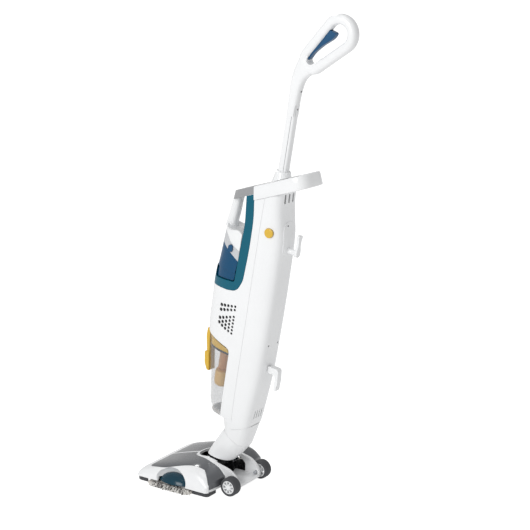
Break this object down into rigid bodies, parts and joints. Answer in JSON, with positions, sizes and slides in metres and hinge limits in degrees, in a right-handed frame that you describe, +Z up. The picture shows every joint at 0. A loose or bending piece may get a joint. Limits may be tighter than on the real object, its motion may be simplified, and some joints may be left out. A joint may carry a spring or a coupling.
{
  "type": "upright vacuum and steam mop",
  "caption": "Upright floor cleaner with a wheeled head, swivelling neck, clip-in tank and dust cup, straight tube and closed loop handle.",
  "frame": {"origin": "On the floor, at the middle of the mop pad's underside.", "axes": "+Z up, -Y towards the front of the floor head, +X to the left hand of the person pushing it."},
  "size_m": [0.26, 0.5728, 1.1969],
  "materials": {
    "cast_aluminium": "cast",
    "black_plastic": "satin",
    "blue_plastic": "gloss",
    "circuit_board": "matt",
    "silicone_hose": "matt",
    "microfibre": "matt",
    "clear_plastic": "clear",
    "dark_grey_plastic": "satin",
    "mid_grey_plastic": "satin",
    "pale_grey_plastic": "satin",
    "rubber": "matt",
    "smoke_tinted_plastic": "clear, tinted",
    "steel": "plain",
    "filter_paper": "matt",
    "blue_tinted_plastic": "clear, tinted",
    "teal_plastic": "gloss",
    "white_plastic": "gloss",
    "yellow_plastic": "gloss"
  },
  "bodies": {
    "head": {"white_cover": "white_plastic", "smoke_shell": "smoke_tinted_plastic", "centre_trim": "white_plastic", "neck_surround": "white_plastic", "base_plate": "black_plastic", "skirt_front": "dark_grey_plastic", "skirt_left": "dark_grey_plastic", "skirt_right": "dark_grey_plastic", "pad_plate": "pale_grey_plastic", "mop_pad": "microfibre", "suction_channel": "dark_grey_plastic", "axle_left": "steel", "axle_right": "steel", "pivot_pin_left": "steel", "pivot_pin_right": "steel"},
    "wheel_left": {"tyre_left": "rubber", "hub_left": "white_plastic"},
    "wheel_right": {"tyre_right": "rubber", "hub_right": "white_plastic"},
    "pedal_left_lever": {"pedal_left": "teal_plastic"},
    "pedal_right_lever": {"pedal_right": "teal_plastic"},
    "neck": {"neck_lower": "white_plastic", "pivot_barrel": "black_plastic"},
    "body": {"centre_housing": "white_plastic", "rear_housing": "white_plastic", "rear_screw_left": "steel", "rear_screw_right": "steel", "lower_hook": "white_plastic", "cord_gland": "dark_grey_plastic", "top_loop": "white_plastic", "tube_collar": "white_plastic", "handle_tube": "white_plastic", "handle_left": "white_plastic", "handle_right": "white_plastic", "tank_frame": "teal_plastic", "air_duct": "dark_grey_plastic", "motor_mount": "rubber", "motor_can": "steel", "exhaust_filter": "pale_grey_plastic", "boiler": "cast_aluminium", "pump": "dark_grey_plastic", "control_board": "circuit_board", "water_hose": "silicone_hose", "steam_hose": "silicone_hose"},
    "tank_unit": {"tank": "blue_tinted_plastic", "tank_collar": "pale_grey_plastic", "tank_grip": "white_plastic", "grip_cap": "mid_grey_plastic"},
    "tank_latch_left": {"tank_button_left": "blue_plastic"},
    "tank_latch_right": {"tank_button_right": "blue_plastic"},
    "cup_unit": {"dust_cup": "clear_plastic", "cup_lid": "yellow_plastic", "cup_gasket": "dark_grey_plastic", "cup_filter": "filter_paper", "filter_foot": "yellow_plastic"},
    "cup_catch": {"cup_latch": "yellow_plastic"},
    "cord_hook": {"upper_hook": "white_plastic"},
    "side_key": {"side_button": "yellow_plastic"},
    "steam_trigger": {"trigger": "blue_plastic"},
    "motor_rotor": {"rotor": "steel"}
  },
  "joints": [
    {"name": "recline", "type": "hinge", "parent": "head", "child": "neck", "pos_m": [0, 0.064, 0.048], "axis": [-1, 0, 0], "range_deg": [0, 45]},
    {"name": "swivel", "type": "hinge", "parent": "neck", "child": "body", "pos_m": [0, 0.12893, 0.13403], "axis": [0, 0.5693, 0.8221], "range_deg": [-40, 40]},
    {"name": "wheel_left_roll", "type": "hinge", "parent": "head", "child": "wheel_left", "pos_m": [0.069, 0.152, 0.024], "axis": [1, 0, 0], "continuous": true},
    {"name": "wheel_right_roll", "type": "hinge", "parent": "head", "child": "wheel_right", "pos_m": [-0.069, 0.152, 0.024], "axis": [1, 0, 0], "continuous": true},
    {"name": "pedal_left_press", "type": "hinge", "parent": "head", "child": "pedal_left_lever", "pos_m": [0.097, 0.008, 0.03], "axis": [0, 1, 0], "range_deg": [0, 5], "stiffness_Nm_per_rad": 8, "springref_deg": -1.72},
    {"name": "pedal_right_press", "type": "hinge", "parent": "head", "child": "pedal_right_lever", "pos_m": [-0.097, 0.008, 0.03], "axis": [0, -1, 0], "range_deg": [0, 5], "stiffness_Nm_per_rad": 8, "springref_deg": -1.72},
    {"name": "tank_tilt", "type": "hinge", "parent": "body", "child": "tank_unit", "pos_m": [0, 0.0769, 0.58187], "axis": [1, 0, 0], "range_deg": [0, 25]},
    {"name": "tank_button_left_press", "type": "slide", "parent": "tank_unit", "child": "tank_latch_left", "axis": [-1, 0, 0], "range_m": [0, 0.0025], "stiffness_N_per_m": 500, "springref_m": -0.0005},
    {"name": "tank_button_right_press", "type": "slide", "parent": "tank_unit", "child": "tank_latch_right", "axis": [1, 0, 0], "range_m": [0, 0.0025], "stiffness_N_per_m": 500, "springref_m": -0.0005},
    {"name": "cup_tilt", "type": "hinge", "parent": "body", "child": "cup_unit", "pos_m": [0, 0.05436, 0.21217], "axis": [1, 0, 0], "range_deg": [0, 25]},
    {"name": "cup_latch_press", "type": "hinge", "parent": "cup_unit", "child": "cup_catch", "pos_m": [0, 0.04831, 0.37367], "axis": [1, 0, 0], "range_deg": [0, 2.5], "stiffness_Nm_per_rad": 3, "springref_deg": -1.72},
    {"name": "upper_hook_turn", "type": "hinge", "parent": "body", "child": "cord_hook", "pos_m": [0, 0.27895, 0.63357], "axis": [0, 0.9848, -0.1736], "range_deg": [0, 180]},
    {"name": "side_button_press", "type": "slide", "parent": "body", "child": "side_key", "axis": [-1, 0, 0], "range_m": [0, 0.0025], "stiffness_N_per_m": 400, "springref_m": -0.0005},
    {"name": "trigger_squeeze", "type": "hinge", "parent": "body", "child": "steam_trigger", "pos_m": [0, 0.39937, 1.1495], "axis": [-1, 0, 0], "range_deg": [0, 4], "stiffness_Nm_per_rad": 3, "springref_deg": -2.86},
    {"name": "rotor_spin", "type": "hinge", "parent": "body", "child": "motor_rotor", "pos_m": [0, 0.13346, 0.44192], "axis": [0, 0.1736, 0.9848], "continuous": true}
  ]
}
